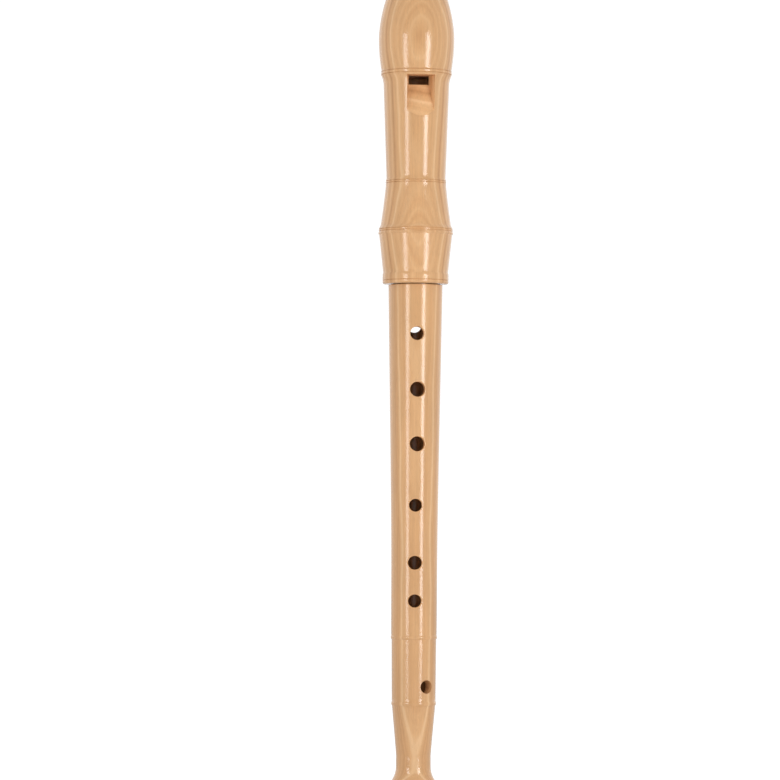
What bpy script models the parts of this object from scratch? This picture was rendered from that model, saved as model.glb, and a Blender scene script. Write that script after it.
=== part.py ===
"""A wooden descant recorder in two joints.

The head joint carries the beak, the windway's roof, the window and the socket. A fipple block fills the
head bore up to the window. The body joint, with its foot in one piece, carries the holes and the tenon,
and a cork sleeve seals the tenon in the socket.

Metres, +Z along the bore towards the beak. The origin is the centre of the foot's end face. The finger
holes face -Y, the thumb hole faces +Y.
"""

import math

import bmesh
import bpy

# Clearances
GAP = 0.0003                         # between pieces that touch on the real instrument
TENON_END_GAP = 0.0006               # tenon's end to the bottom of the socket

# Lengths of the two joints
TUBE_LENGTH = 0.2028                 # foot's end face to the shoulder under the head
HEAD_LENGTH = 0.1224                 # head's lower end to the tip of the beak

# Socket, tenon and cork
SOCKET_RADIUS = 0.0090
SOCKET_DEPTH = 0.0230
SOCKET_CHAMFER = 0.0006
TENON_WALL = 0.0025
TENON_CHAMFER = 0.0005
CORK_LENGTH = 0.0140
CORK_ABOVE_SHOULDER = 0.0045
CORK_GROOVE_DEPTH = 0.0010
CORK_CHAMFER = 0.00015

# Bores
HEAD_BORE_RADIUS = 0.0064
WAIST_WALL = 0.00205
BELL_BORE_FLARE = 0.0005             # how much wider the bore is at the foot's end than at the waist
BELL_BORE_CHAMFER = 0.0004

# Body tube, from the shoulder down
SHOULDER_WIDTH = 0.0019              # step from the tenon out to the tube
SHOULDER_EDGE = 0.0003
TUBE_BEND_HEIGHT = 0.1110            # where the quick upper taper ends
TUBE_BEND_RADIUS = 0.00915
FOOT_RING_HEIGHT = 0.0655
FOOT_RING_LENGTH = 0.0016
FOOT_RING_TOP_RADIUS = 0.00887
FOOT_RING_BOTTOM_RADIUS = 0.0087

# Foot, from its end face up
BELL_RING_HEIGHT = 0.03985
BELL_RING_LENGTH = 0.0019
BELL_RING_TOP_RADIUS = 0.00853
BELL_RING_BOTTOM_RADIUS = 0.0084
WAIST_TOP = 0.0200
WAIST_BOTTOM = 0.0155
WAIST_RADIUS = 0.00676
BELL_COVE_RADIUS = 0.0097
BELL_COVE_SWEEP = 60.0               # degrees of the cove that opens the waist out to the bell
BELL_RIM_BULGE = 0.0008
BELL_RIM_TAPER = 0.0002              # how much narrower the rim is at its lower edge
BELL_EDGE = 0.0010
BEAD_PROUD = 0.00024

# Head outline, from its lower end up
SOCKET_END_BEAD = 0.0042             # height of the plain bead at the socket's mouth
SOCKET_END_BEAD_STEP = 0.00024       # how far that bead stands out of the ferrule
SOCKET_END_GROOVE = 0.00145
SOCKET_END_EDGE = 0.0008
FERRULE_LENGTH = 0.0193              # head's lower end to the ferrule's upper bead
FERRULE_BOTTOM_RADIUS = 0.01269
FERRULE_TOP_RADIUS = 0.0143
FERRULE_BEAD_LENGTH = 0.0012
FERRULE_RADIUS = 0.01449
FLARE_LENGTH = 0.0188                # between the double lines at the flare's two ends
FLARE_TOP_RADIUS = 0.01183
FLARE_BOTTOM_RADIUS = 0.01377
FLARE_HOLLOW = 0.00010
FLARE_COVE = 0.0014
NECK_BOTTOM_RADIUS = 0.01156
NECK_TOP_RADIUS = 0.01287
NECK_TOP_COVE = 0.0035
NECK_TOP_HOLLOW = 0.00016
NECK_BOTTOM_COVE = 0.0009
LINE_DEPTH = 0.00024                 # the fine grooves turned in pairs around the head
LINE_HALF_WIDTH = 0.00018
LINE_SPACING = 0.00076

# Bulb and beak, measured from the beak's tip and from the window
TIP_RADIUS = 0.0090
TIP_EDGE = 0.0024
BULB_BELOW_TIP = 0.0264
BULB_RADIUS = 0.0148
BULB_SWELL_POWER = 1.8               # shape of the curve from the tip out to the bulb
BULB_BOTTOM_RADIUS = 0.01372
BULB_LINE_SPACING = 0.00113
BULB_LINE_ABOVE_WINDOW = 0.0015
BEAK_CUT_RADIUS = 0.0400
BEAK_CUT_ABOVE_TIP = 0.0083          # centre of the cut's round, above the tip
BEAK_TIP_SHORT = 0.0022              # the tip ends this far in front of the axis

# Windway, window and labium, on the front of the head
HEAD_TURN = math.radians(4.5)        # how the head sits on its tenon, its front turned towards +X
WINDOW_BELOW_TIP = 0.0414
WINDOW_HEIGHT = 0.0035
WINDOW_HALF_WIDTH = 0.0040
CHEEK_FLARE = math.radians(15.2)
WINDWAY_FLOOR = 0.0057               # distance in front of the axis
WINDWAY_EXIT_HEIGHT = 0.00115
WINDWAY_ENTRY_HEIGHT = 0.0014
WINDWAY_CHAMFER = 0.00035
LABIUM_STEP = 0.0006                 # underside of the labium's edge, outside of the windway's floor
LABIUM_EDGE = 0.0002
LABIUM_SLOPE = math.radians(25.1)
UNDERCUT_SLOPE = math.radians(8.0)

# Finger holes: distance below the shoulder, diameter, degrees from the front towards +X
FINGER_HOLES = (
    (0.0192, 0.0053, 0.0),
    (0.0409, 0.00585, 2.0),
    (0.0621, 0.0058, 2.0),
    (0.0859, 0.0050, -1.5),
    (0.1082, 0.00535, -2.5),
    (0.1230, 0.0051, -2.5),
)
LITTLE_FINGER_HOLE = (0.1563, 0.0053, 32.0)
THUMB_HOLE = (0.0153, 0.0060, 180.0)

# Resolution
TURN_STEPS = 48                      # sides of a turned piece
HOLE_STEPS = 24                      # sides of a drilled hole
BEAK_CUT_STEPS = 160                 # sides of the whole drum that hollows the beak
OVERRUN = 0.003                      # how far a cutter runs past what it cuts

# Colour and roughness
PALE_WOOD = ((0.62, 0.39, 0.21), 0.35)
BLOCK_CEDAR = ((0.45, 0.20, 0.10), 0.6)
CORK = ((0.50, 0.31, 0.17), 0.85)

# Heights and radii that follow from the sizes above
HEAD_END = TUBE_LENGTH + GAP
TIP = HEAD_END + HEAD_LENGTH
WINDOW_TOP = TIP - WINDOW_BELOW_TIP
WINDOW_BOTTOM = WINDOW_TOP - WINDOW_HEIGHT
SOCKET_BOTTOM = HEAD_END + SOCKET_DEPTH
TENON_RADIUS = SOCKET_RADIUS - GAP
TENON_TOP = SOCKET_BOTTOM - TENON_END_GAP
CORK_SEAT_RADIUS = TENON_RADIUS - CORK_GROOVE_DEPTH
CORK_SEAT_BOTTOM = TUBE_LENGTH + CORK_ABOVE_SHOULDER
CORK_SEAT_TOP = CORK_SEAT_BOTTOM + CORK_LENGTH
TUBE_TOP_RADIUS = TENON_RADIUS + SHOULDER_WIDTH
BLOCK_RADIUS = HEAD_BORE_RADIUS - GAP
LABIUM_BACK = WINDWAY_FLOOR + LABIUM_STEP
LABIUM_FRONT = LABIUM_BACK + LABIUM_EDGE
FRONT_CLEAR = BULB_RADIUS + OVERRUN


def clear_scene():
    for old in list(bpy.data.objects):
        bpy.data.objects.remove(old, do_unlink=True)


def new_collection(name):
    collection = bpy.data.collections.new(name)
    bpy.context.scene.collection.children.link(collection)
    return collection


def new_material(name, colour, roughness):
    material = bpy.data.materials.new(name)
    material.use_nodes = True
    material.diffuse_color = (*colour, 1.0)
    shader = material.node_tree.nodes["Principled BSDF"]
    shader.inputs["Base Color"].default_value = (*colour, 1.0)
    shader.inputs["Roughness"].default_value = roughness
    shader.inputs["Metallic"].default_value = 0.0
    return material


def round_edge(centre, radius, first_degrees, last_degrees, steps):
    """Points (radius, height) along an arc about centre."""
    points = []
    for step in range(steps + 1):
        angle = math.radians(first_degrees + (last_degrees - first_degrees) * step / steps)
        points.append((centre[0] + radius * math.cos(angle), centre[1] + radius * math.sin(angle)))
    return points


def bowed(start, end, bow, steps):
    """Points from start to end on a shallow curve that stands out by bow at its middle."""
    points = []
    for step in range(steps + 1):
        share = step / steps
        radius = start[0] + (end[0] - start[0]) * share + 4.0 * bow * share * (1.0 - share)
        points.append((radius, start[1] + (end[1] - start[1]) * share))
    return points


def line(height, radius):
    """A fine V groove turned into the surface."""
    return [
        (radius, height + LINE_HALF_WIDTH),
        (radius - LINE_DEPTH, height),
        (radius, height - LINE_HALF_WIDTH),
    ]


def double_line(height, radius, spacing):
    return line(height + 0.5 * spacing, radius) + line(height - 0.5 * spacing, radius)


def bead(height, length, radius_above, radius_below):
    """A half-round ring left standing on a taper, from its top down."""
    return bowed((radius_above, height + 0.5 * length), (radius_below, height - 0.5 * length),
                 BEAD_PROUD, 5)


def head_outline():
    """The head's outside, from the beak's tip down to the socket's mouth."""
    bulb_height = TIP - BULB_BELOW_TIP
    bulb_line = WINDOW_TOP + BULB_LINE_ABOVE_WINDOW
    bulb_line_half = 0.5 * BULB_LINE_SPACING + LINE_HALF_WIDTH
    line_half = 0.5 * LINE_SPACING + LINE_HALF_WIDTH
    ferrule_bead_top = HEAD_END + FERRULE_LENGTH + FERRULE_BEAD_LENGTH
    ferrule_line = ferrule_bead_top + line_half
    flare_line = ferrule_line + FLARE_LENGTH
    socket_bead_radius = FERRULE_BOTTOM_RADIUS + SOCKET_END_BEAD_STEP

    points = round_edge((TIP_RADIUS - TIP_EDGE, TIP - TIP_EDGE), TIP_EDGE, 90.0, 0.0, 4)
    swell_steps = 8
    for step in range(1, swell_steps + 1):
        share = 1.0 - step / swell_steps
        points.append((BULB_RADIUS - (BULB_RADIUS - TIP_RADIUS) * share ** BULB_SWELL_POWER,
                       bulb_height + (TIP - TIP_EDGE - bulb_height) * share))
    fall_steps = 4
    fall = bulb_height - bulb_line - bulb_line_half - LINE_HALF_WIDTH
    for step in range(1, fall_steps + 1):
        share = step / fall_steps
        points.append((BULB_RADIUS - (BULB_RADIUS - BULB_BOTTOM_RADIUS) * share ** 2,
                       bulb_height - fall * share))
    points += double_line(bulb_line, BULB_BOTTOM_RADIUS + 0.5 * LINE_DEPTH, BULB_LINE_SPACING)

    cove_top = bulb_line - bulb_line_half - LINE_HALF_WIDTH
    points += bowed((BULB_BOTTOM_RADIUS, cove_top), (NECK_TOP_RADIUS, cove_top - NECK_TOP_COVE),
                    -NECK_TOP_HOLLOW, 4)
    points.append((NECK_BOTTOM_RADIUS, flare_line + line_half + NECK_BOTTOM_COVE))
    points += double_line(flare_line, FLARE_TOP_RADIUS, LINE_SPACING)
    points += bowed((FLARE_TOP_RADIUS, flare_line - line_half - NECK_BOTTOM_COVE),
                    (FLARE_BOTTOM_RADIUS, ferrule_line + line_half + FLARE_COVE), -FLARE_HOLLOW, 6)
    points += double_line(ferrule_line, FERRULE_RADIUS, LINE_SPACING)
    points += bowed((FERRULE_RADIUS, ferrule_bead_top - LINE_HALF_WIDTH),
                    (FERRULE_TOP_RADIUS, ferrule_bead_top - FERRULE_BEAD_LENGTH), BEAD_PROUD, 4)
    points.append((FERRULE_BOTTOM_RADIUS, HEAD_END + SOCKET_END_BEAD + LINE_HALF_WIDTH))
    points += line(HEAD_END + SOCKET_END_BEAD - LINE_HALF_WIDTH, socket_bead_radius)[2:]
    points += line(HEAD_END + SOCKET_END_GROOVE, socket_bead_radius)
    points += round_edge((socket_bead_radius - SOCKET_END_EDGE, HEAD_END + SOCKET_END_EDGE),
                         SOCKET_END_EDGE, 0.0, -90.0, 3)
    return points


def smooth(knots, steps):
    """An outline through a few knots (radius, height) with no corner at any of them."""
    slopes = []
    for index in range(len(knots)):
        before = knots[max(index - 1, 0)]
        after = knots[min(index + 1, len(knots) - 1)]
        slopes.append((after[0] - before[0]) / (after[1] - before[1]))
    points = []
    for index in range(len(knots) - 1):
        (start, top), (end, bottom) = knots[index], knots[index + 1]
        span = bottom - top
        for step in range(steps):
            share = step / steps
            blend = share * share * (3.0 - 2.0 * share)
            lead = share * (1.0 - share) ** 2 * slopes[index]
            trail = share * share * (share - 1.0) * slopes[index + 1]
            points.append((start + (end - start) * blend + span * (lead + trail), top + span * share))
    points.append(knots[-1])
    return points


def body_outline():
    """The body's outside, from the tenon's end down to the foot's end face."""
    waist_middle = 0.5 * (WAIST_TOP + WAIST_BOTTOM)
    tube_top = TUBE_LENGTH - SHOULDER_EDGE
    foot_ring_top = FOOT_RING_HEIGHT + 0.5 * FOOT_RING_LENGTH
    cove_centre = (WAIST_RADIUS + BELL_COVE_RADIUS, WAIST_BOTTOM)

    points = [
        (TENON_RADIUS - TENON_CHAMFER, TENON_TOP),
        (TENON_RADIUS, TENON_TOP - TENON_CHAMFER),
        (TENON_RADIUS, CORK_SEAT_TOP),
        (CORK_SEAT_RADIUS, CORK_SEAT_TOP),
        (CORK_SEAT_RADIUS, CORK_SEAT_BOTTOM),
        (TENON_RADIUS, CORK_SEAT_BOTTOM),
        (TENON_RADIUS, TUBE_LENGTH),
    ]
    points += round_edge((TUBE_TOP_RADIUS - SHOULDER_EDGE, tube_top), SHOULDER_EDGE, 90.0, 0.0, 2)
    tube_knots = [(TUBE_TOP_RADIUS, tube_top), (TUBE_BEND_RADIUS, TUBE_BEND_HEIGHT),
                  (FOOT_RING_TOP_RADIUS, foot_ring_top + LINE_HALF_WIDTH)]
    points += smooth(tube_knots, 4)[1:]
    points += bead(FOOT_RING_HEIGHT, FOOT_RING_LENGTH, FOOT_RING_TOP_RADIUS, FOOT_RING_BOTTOM_RADIUS)
    points += bead(BELL_RING_HEIGHT, BELL_RING_LENGTH, BELL_RING_TOP_RADIUS, BELL_RING_BOTTOM_RADIUS)
    waist_knots = [(BELL_RING_BOTTOM_RADIUS, BELL_RING_HEIGHT - 0.5 * BELL_RING_LENGTH - LINE_HALF_WIDTH),
                   (WAIST_RADIUS, WAIST_TOP), (WAIST_RADIUS, waist_middle)]
    points += smooth(waist_knots, 3)[1:]
    points += round_edge(cove_centre, BELL_COVE_RADIUS, 180.0, 180.0 + BELL_COVE_SWEEP, 6)
    rim_radius, rim_top = points[-1]
    foot_radius = rim_radius - BELL_RIM_TAPER
    points += line(rim_top - LINE_HALF_WIDTH, rim_radius)[1:]
    points += bowed(points[-1], (foot_radius, BELL_EDGE), BELL_RIM_BULGE, 5)[1:-1]
    points += round_edge((foot_radius - BELL_EDGE, BELL_EDGE), BELL_EDGE, 0.0, -90.0, 3)
    return points


def turned(name, outline, collection, material):
    """Spins a closed outline of (radius, height) points that starts down its outer side."""
    mesh = bpy.data.meshes.new(name)
    count = len(outline)
    corners = [(radius, 0.0, height) for radius, height in outline]
    edges = [(index, (index + 1) % count) for index in range(count)]
    mesh.from_pydata(corners, edges, [])
    mesh.materials.append(material)
    obj = bpy.data.objects.new(name, mesh)
    collection.objects.link(obj)
    screw = obj.modifiers.new("turn", "SCREW")
    screw.axis = "Z"
    screw.angle = math.tau
    screw.steps = TURN_STEPS
    screw.render_steps = TURN_STEPS
    screw.use_merge_vertices = True
    screw.merge_threshold = 0.00001
    screw.use_smooth_shade = True
    return obj


def as_cutter(obj, name, collection):
    for other in list(obj.users_collection):
        other.objects.unlink(obj)
    collection.objects.link(obj)
    obj.name = name
    obj.hide_render = True
    obj.display_type = "WIRE"
    return obj


def prism(name, outline, half_width, flare, collection):
    """A block over an outline of (distance in front of the axis, height), turned with the head. Its
    sides lean out by flare from half_width at the outline's first point."""
    mesh = bpy.data.meshes.new(name)
    bm = bmesh.new()
    face = bm.faces.new([bm.verts.new((-1.0, -front, height)) for front, height in outline])
    pushed = bmesh.ops.extrude_face_region(bm, geom=[face])["geom"]
    for vert in pushed:
        if isinstance(vert, bmesh.types.BMVert):
            vert.co.x = 1.0
    for vert in bm.verts:
        vert.co.x *= half_width + (-vert.co.y - outline[0][0]) * math.tan(flare)
    bmesh.ops.recalc_face_normals(bm, faces=bm.faces)
    bm.to_mesh(mesh)
    bm.free()
    obj = bpy.data.objects.new(name, mesh)
    obj.rotation_euler.z = HEAD_TURN
    return as_cutter(obj, name, collection)


def drill(name, hole, collection):
    """A cutter for a round hole through one wall of the body, from the bore's axis out."""
    below_shoulder, diameter, turn_degrees = hole
    reach = TUBE_TOP_RADIUS + OVERRUN
    turn = math.radians(turn_degrees)
    middle = 0.5 * reach
    bpy.ops.mesh.primitive_cylinder_add(
        vertices=HOLE_STEPS,
        radius=0.5 * diameter,
        depth=reach,
        location=(middle * math.sin(turn), -middle * math.cos(turn), TUBE_LENGTH - below_shoulder),
        rotation=(math.radians(90.0), 0.0, turn),
    )
    return as_cutter(bpy.context.object, name, collection)


def beak_drum(collection):
    """The large drum that hollows the back of the beak, its axis across the head."""
    reach = math.sqrt(BEAK_CUT_RADIUS ** 2 - BEAK_CUT_ABOVE_TIP ** 2) - BEAK_TIP_SHORT
    bpy.ops.mesh.primitive_cylinder_add(
        vertices=BEAK_CUT_STEPS,
        radius=BEAK_CUT_RADIUS,
        depth=2.0 * FRONT_CLEAR,
        location=(-reach * math.sin(HEAD_TURN), reach * math.cos(HEAD_TURN), TIP + BEAK_CUT_ABOVE_TIP),
        rotation=(0.0, math.radians(90.0), HEAD_TURN),
    )
    return as_cutter(bpy.context.object, "beak_drum", collection)


def boolean(obj, cutter, operation="DIFFERENCE"):
    modifier = obj.modifiers.new(cutter.name, "BOOLEAN")
    modifier.object = cutter
    modifier.operation = operation
    modifier.solver = "EXACT"


def head_bore_outline():
    """The head's inside, from the socket's mouth up to the beak's tip."""
    return [
        (SOCKET_RADIUS + SOCKET_CHAMFER, HEAD_END),
        (SOCKET_RADIUS, HEAD_END + SOCKET_CHAMFER),
        (SOCKET_RADIUS, SOCKET_BOTTOM),
        (HEAD_BORE_RADIUS, SOCKET_BOTTOM),
        (HEAD_BORE_RADIUS, TIP),
    ]


def body_bore_outline():
    """The body's inside, from the foot's end face up to the tenon's end."""
    waist_bore = WAIST_RADIUS - WAIST_WALL
    bell_bore = waist_bore + BELL_BORE_FLARE
    return [
        (bell_bore + BELL_BORE_CHAMFER, 0.0),
        (bell_bore, BELL_BORE_CHAMFER),
        (waist_bore, 0.5 * (WAIST_TOP + WAIST_BOTTOM)),
        (TENON_RADIUS - TENON_WALL, TENON_TOP),
    ]


def window_cutters(collection):
    """The window with the labium's hollowed underside, then the ramp with its leaning cheeks."""
    behind = 0.5 * WINDWAY_FLOOR
    through = LABIUM_FRONT + LABIUM_EDGE
    undercut_length = (LABIUM_BACK - behind) / math.tan(UNDERCUT_SLOPE)
    ramp_length = (FRONT_CLEAR - LABIUM_FRONT) / math.tan(LABIUM_SLOPE)
    window = [(behind, WINDOW_TOP), (through, WINDOW_TOP), (through, WINDOW_BOTTOM),
              (LABIUM_BACK, WINDOW_BOTTOM), (behind, WINDOW_BOTTOM - undercut_length)]
    ramp = [(LABIUM_FRONT, WINDOW_TOP), (FRONT_CLEAR, WINDOW_TOP),
            (FRONT_CLEAR, WINDOW_BOTTOM - ramp_length), (LABIUM_FRONT, WINDOW_BOTTOM)]
    return [
        prism("window_cut", window, WINDOW_HALF_WIDTH, 0.0, collection),
        prism("ramp_cut", ramp, WINDOW_HALF_WIDTH, CHEEK_FLARE, collection),
    ]


def windway_roof_cutter(collection):
    """The channel in the head above the block, chamfered where the air leaves it."""
    behind = 0.5 * WINDWAY_FLOOR
    exit_roof = WINDWAY_FLOOR + WINDWAY_EXIT_HEIGHT
    entry_roof = WINDWAY_FLOOR + WINDWAY_ENTRY_HEIGHT
    past_exit = 0.5 * WINDOW_HEIGHT
    outline = [(behind, WINDOW_TOP - past_exit),
               (exit_roof + WINDWAY_CHAMFER + past_exit, WINDOW_TOP - past_exit),
               (exit_roof, WINDOW_TOP + WINDWAY_CHAMFER), (entry_roof, TIP + OVERRUN),
               (behind, TIP + OVERRUN)]
    return prism("windway_roof_cut", outline, WINDOW_HALF_WIDTH, 0.0, collection)


def make_head(collection, cutters):
    outline = head_outline() + head_bore_outline()
    head = turned("head_joint", outline, collection, new_material("varnished_head", *PALE_WOOD))
    for cutter in window_cutters(cutters):
        boolean(head, cutter)
    boolean(head, windway_roof_cutter(cutters))
    boolean(head, beak_drum(cutters))
    return head


def make_block(collection, cutters):
    """The plug that fills the head bore, with a raised rail whose flat top is the windway's floor."""
    rail_outline = [(0.0, WINDOW_TOP), (LABIUM_BACK, WINDOW_TOP), (LABIUM_BACK, TIP), (0.0, TIP)]
    floor_outline = [(WINDWAY_FLOOR, TIP + OVERRUN), (FRONT_CLEAR, TIP + OVERRUN),
                     (FRONT_CLEAR, WINDOW_TOP - OVERRUN),
                     (WINDWAY_FLOOR - WINDWAY_CHAMFER - OVERRUN, WINDOW_TOP - OVERRUN),
                     (WINDWAY_FLOOR, WINDOW_TOP + WINDWAY_CHAMFER)]
    bpy.ops.mesh.primitive_cylinder_add(
        vertices=TURN_STEPS,
        radius=BLOCK_RADIUS,
        depth=TIP - WINDOW_TOP,
        location=(0.0, 0.0, 0.5 * (TIP + WINDOW_TOP)),
        rotation=(0.0, 0.0, HEAD_TURN),
    )
    block = bpy.context.object
    block.name = "block"
    for other in list(block.users_collection):
        other.objects.unlink(block)
    collection.objects.link(block)
    block.data.materials.append(new_material("block_cedar", *BLOCK_CEDAR))
    boolean(block, prism("block_rail", rail_outline, WINDOW_HALF_WIDTH - GAP, 0.0, cutters), "UNION")
    boolean(block, prism("windway_floor_cut", floor_outline, FRONT_CLEAR, 0.0, cutters))
    boolean(block, beak_drum(cutters))
    return block


def make_body(collection, cutters):
    outline = body_outline() + body_bore_outline()
    body = turned("body_joint", outline, collection, new_material("varnished_body", *PALE_WOOD))
    for number, hole in enumerate(FINGER_HOLES, start=1):
        boolean(body, drill(f"finger_hole_{number}_cut", hole, cutters))
    boolean(body, drill("little_finger_hole_cut", LITTLE_FINGER_HOLE, cutters))
    boolean(body, drill("thumb_hole_cut", THUMB_HOLE, cutters))
    return body


def make_cork(collection):
    """The sleeve glued in the tenon's groove. It stands as far out as the tenon's own ends."""
    inner = CORK_SEAT_RADIUS + GAP
    top = CORK_SEAT_TOP - GAP
    bottom = CORK_SEAT_BOTTOM + GAP
    outline = [
        (TENON_RADIUS - CORK_CHAMFER, top),
        (TENON_RADIUS, top - CORK_CHAMFER),
        (TENON_RADIUS, bottom + CORK_CHAMFER),
        (TENON_RADIUS - CORK_CHAMFER, bottom),
        (inner, bottom),
        (inner, top),
    ]
    return turned("tenon_cork", outline, collection, new_material("cork", *CORK))


def smooth_shading(obj):
    """Bakes the modifiers into the mesh and shades it smooth, with its sharp edges kept."""
    graph = bpy.context.evaluated_depsgraph_get()
    mesh = bpy.data.meshes.new_from_object(obj.evaluated_get(graph))
    obj.modifiers.clear()
    obj.data = mesh
    mesh.shade_smooth()
    mesh.set_sharp_from_angle(angle=math.radians(30.0))


def main():
    clear_scene()
    recorder = new_collection("recorder")
    cutters = new_collection("cutters")
    cutters.hide_render = True
    parts = [
        make_body(recorder, cutters),
        make_cork(recorder),
        make_head(recorder, cutters),
        make_block(recorder, cutters),
    ]
    bpy.context.view_layer.update()
    for part in parts:
        smooth_shading(part)


main()
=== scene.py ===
"""The looks of a wooden descant recorder in two joints.

The turned head and body, the fipple block and the cork sleeve are made again with a fine surface around
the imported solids, in varnished flat-sawn wood, bare cedar and cork. Metres, +Z along the bore towards
the beak, finger holes on -Y.
"""

import math

import bmesh
import bpy
from mathutils import Matrix, Vector


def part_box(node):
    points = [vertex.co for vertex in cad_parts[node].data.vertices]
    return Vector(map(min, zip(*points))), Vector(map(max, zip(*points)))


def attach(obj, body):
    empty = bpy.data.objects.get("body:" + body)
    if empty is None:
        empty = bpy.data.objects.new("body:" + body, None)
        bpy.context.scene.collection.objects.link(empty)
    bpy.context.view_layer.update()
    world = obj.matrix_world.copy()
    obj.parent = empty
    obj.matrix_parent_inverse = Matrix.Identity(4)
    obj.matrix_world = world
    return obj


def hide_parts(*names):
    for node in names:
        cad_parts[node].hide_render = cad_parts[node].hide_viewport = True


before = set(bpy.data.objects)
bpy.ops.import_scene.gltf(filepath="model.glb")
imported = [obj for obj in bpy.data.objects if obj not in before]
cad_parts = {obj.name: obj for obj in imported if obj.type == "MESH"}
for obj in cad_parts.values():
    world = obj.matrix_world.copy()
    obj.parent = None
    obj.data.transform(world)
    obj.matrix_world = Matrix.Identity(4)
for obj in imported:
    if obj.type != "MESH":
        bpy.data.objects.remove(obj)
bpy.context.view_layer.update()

# Heights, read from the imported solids
TENON_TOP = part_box("body_joint")[1][2]
HEAD_END, TIP = (corner[2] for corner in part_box("head_joint"))
CORK_BOTTOM, CORK_TOP = (corner[2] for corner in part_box("tenon_cork"))

# Tenon, socket and bores
GAP = 0.0003                         # under the head, around the tenon and around the cork
TUBE_LENGTH = HEAD_END - GAP
SOCKET_RADIUS = 0.0090
SOCKET_DEPTH = 0.0230
SOCKET_CHAMFER = 0.0006
TENON_RADIUS = SOCKET_RADIUS - GAP
TENON_WALL = 0.0025
TENON_CHAMFER = 0.0005
CORK_GROOVE_DEPTH = 0.0010
CORK_PROUD = 0.0001                  # how far the cork swells out of its groove
HEAD_BORE_RADIUS = 0.0064
BLOCK_CLEARANCE = 0.00004            # between the block and the head
BLOCK_RADIUS = HEAD_BORE_RADIUS - BLOCK_CLEARANCE
WAIST_WALL = 0.00205
BELL_BORE_FLARE = 0.0005
BELL_BORE_CHAMFER = 0.0004

# Body tube and foot
SHOULDER_WIDTH = 0.0019
SHOULDER_EDGE = 0.0003
TUBE_TOP_RADIUS = TENON_RADIUS + SHOULDER_WIDTH
TUBE_BEND_HEIGHT = 0.1110            # where the quick upper taper ends
TUBE_BEND_RADIUS = 0.00915
FOOT_RING_HEIGHT = 0.0655
FOOT_RING_LENGTH = 0.0016
FOOT_RING_TOP_RADIUS = 0.00887
FOOT_RING_BOTTOM_RADIUS = 0.0087
BELL_RING_HEIGHT = 0.03985
BELL_RING_LENGTH = 0.0019
BELL_RING_TOP_RADIUS = 0.00853
BELL_RING_BOTTOM_RADIUS = 0.0084
WAIST_TOP = 0.0200
WAIST_BOTTOM = 0.0155
WAIST_MIDDLE = 0.5 * (WAIST_TOP + WAIST_BOTTOM)
WAIST_RADIUS = 0.00676
BELL_COVE_RADIUS = 0.0097
BELL_COVE_SWEEP = 60.0               # degrees
BELL_RIM_BULGE = 0.0008
BELL_RIM_TAPER = 0.0002
BELL_EDGE = 0.0010
BEAD_PROUD = 0.00024                 # how far a turned bead stands out

# Lines turned into the head, most of them in pairs
LINE_DEPTH = 0.00024
LINE_HALF_WIDTH = 0.00018
LINE_SPACING = 0.00076
BULB_LINE_SPACING = 0.00113
PAIR_HALF_HEIGHT = 0.5 * LINE_SPACING + LINE_HALF_WIDTH
BULB_PAIR_HALF_HEIGHT = 0.5 * BULB_LINE_SPACING + LINE_HALF_WIDTH

# Head around the socket
SOCKET_END_BEAD = 0.0042
SOCKET_END_BEAD_STEP = 0.00024
SOCKET_END_GROOVE = 0.00145
SOCKET_END_EDGE = 0.0008
FERRULE_LENGTH = 0.0193
FERRULE_BOTTOM_RADIUS = 0.01269
FERRULE_TOP_RADIUS = 0.0143
FERRULE_BEAD_LENGTH = 0.0012
FERRULE_BEAD_TOP = HEAD_END + FERRULE_LENGTH + FERRULE_BEAD_LENGTH
FERRULE_RADIUS = 0.01449
FERRULE_PAIR_HEIGHT = FERRULE_BEAD_TOP + PAIR_HALF_HEIGHT
SOCKET_BEAD_RADIUS = FERRULE_BOTTOM_RADIUS + SOCKET_END_BEAD_STEP

# Flare, neck and bulb
FLARE_LENGTH = 0.0188
FLARE_TOP_RADIUS = 0.01183
FLARE_BOTTOM_RADIUS = 0.01377
FLARE_HOLLOW = 0.00010
FLARE_COVE = 0.0014
FLARE_PAIR_HEIGHT = FERRULE_PAIR_HEIGHT + FLARE_LENGTH
NECK_BOTTOM_RADIUS = 0.01156
NECK_TOP_RADIUS = 0.01287
NECK_TOP_COVE = 0.0035
NECK_TOP_HOLLOW = 0.00016
NECK_BOTTOM_COVE = 0.0009
BULB_BELOW_TIP = 0.0264
BULB_HEIGHT = TIP - BULB_BELOW_TIP   # where the head is widest
BULB_RADIUS = 0.0148
BULB_SWELL_POWER = 1.8
BULB_BOTTOM_RADIUS = 0.01372
BULB_PAIR_ABOVE_WINDOW = 0.0015

# Beak
TIP_RADIUS = 0.0090
TIP_EDGE = 0.0024
BEAK_CUT_RADIUS = 0.0400
BEAK_CUT_ABOVE_TIP = 0.0083
BEAK_CUT_PAST_AXIS = 0.0022          # how far in front of the axis the hollow meets the tip

# Windway, window and labium
HEAD_TURN = math.radians(4.5)        # about the bore, as photographed
WINDOW_BELOW_TIP = 0.0414
WINDOW_TOP = TIP - WINDOW_BELOW_TIP
WINDOW_HEIGHT = 0.0035
WINDOW_BOTTOM = WINDOW_TOP - WINDOW_HEIGHT
WINDOW_HALF_WIDTH = 0.0040
CHEEK_FLARE = math.radians(15.2)
WINDWAY_FLOOR = 0.0057               # in front of the axis
WINDWAY_CUT_BACK = 0.5 * WINDWAY_FLOOR   # where its cutters begin, inside the bore
WINDWAY_EXIT_HEIGHT = 0.00115
WINDWAY_ENTRY_HEIGHT = 0.0014
WINDWAY_CHAMFER = 0.00035
LABIUM_STEP = 0.0006                 # from the windway's floor forward to the labium
LABIUM_EDGE = 0.0002                 # thickness of the labium at its edge
LABIUM_BACK = WINDWAY_FLOOR + LABIUM_STEP
LABIUM_FRONT = LABIUM_BACK + LABIUM_EDGE
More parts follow.
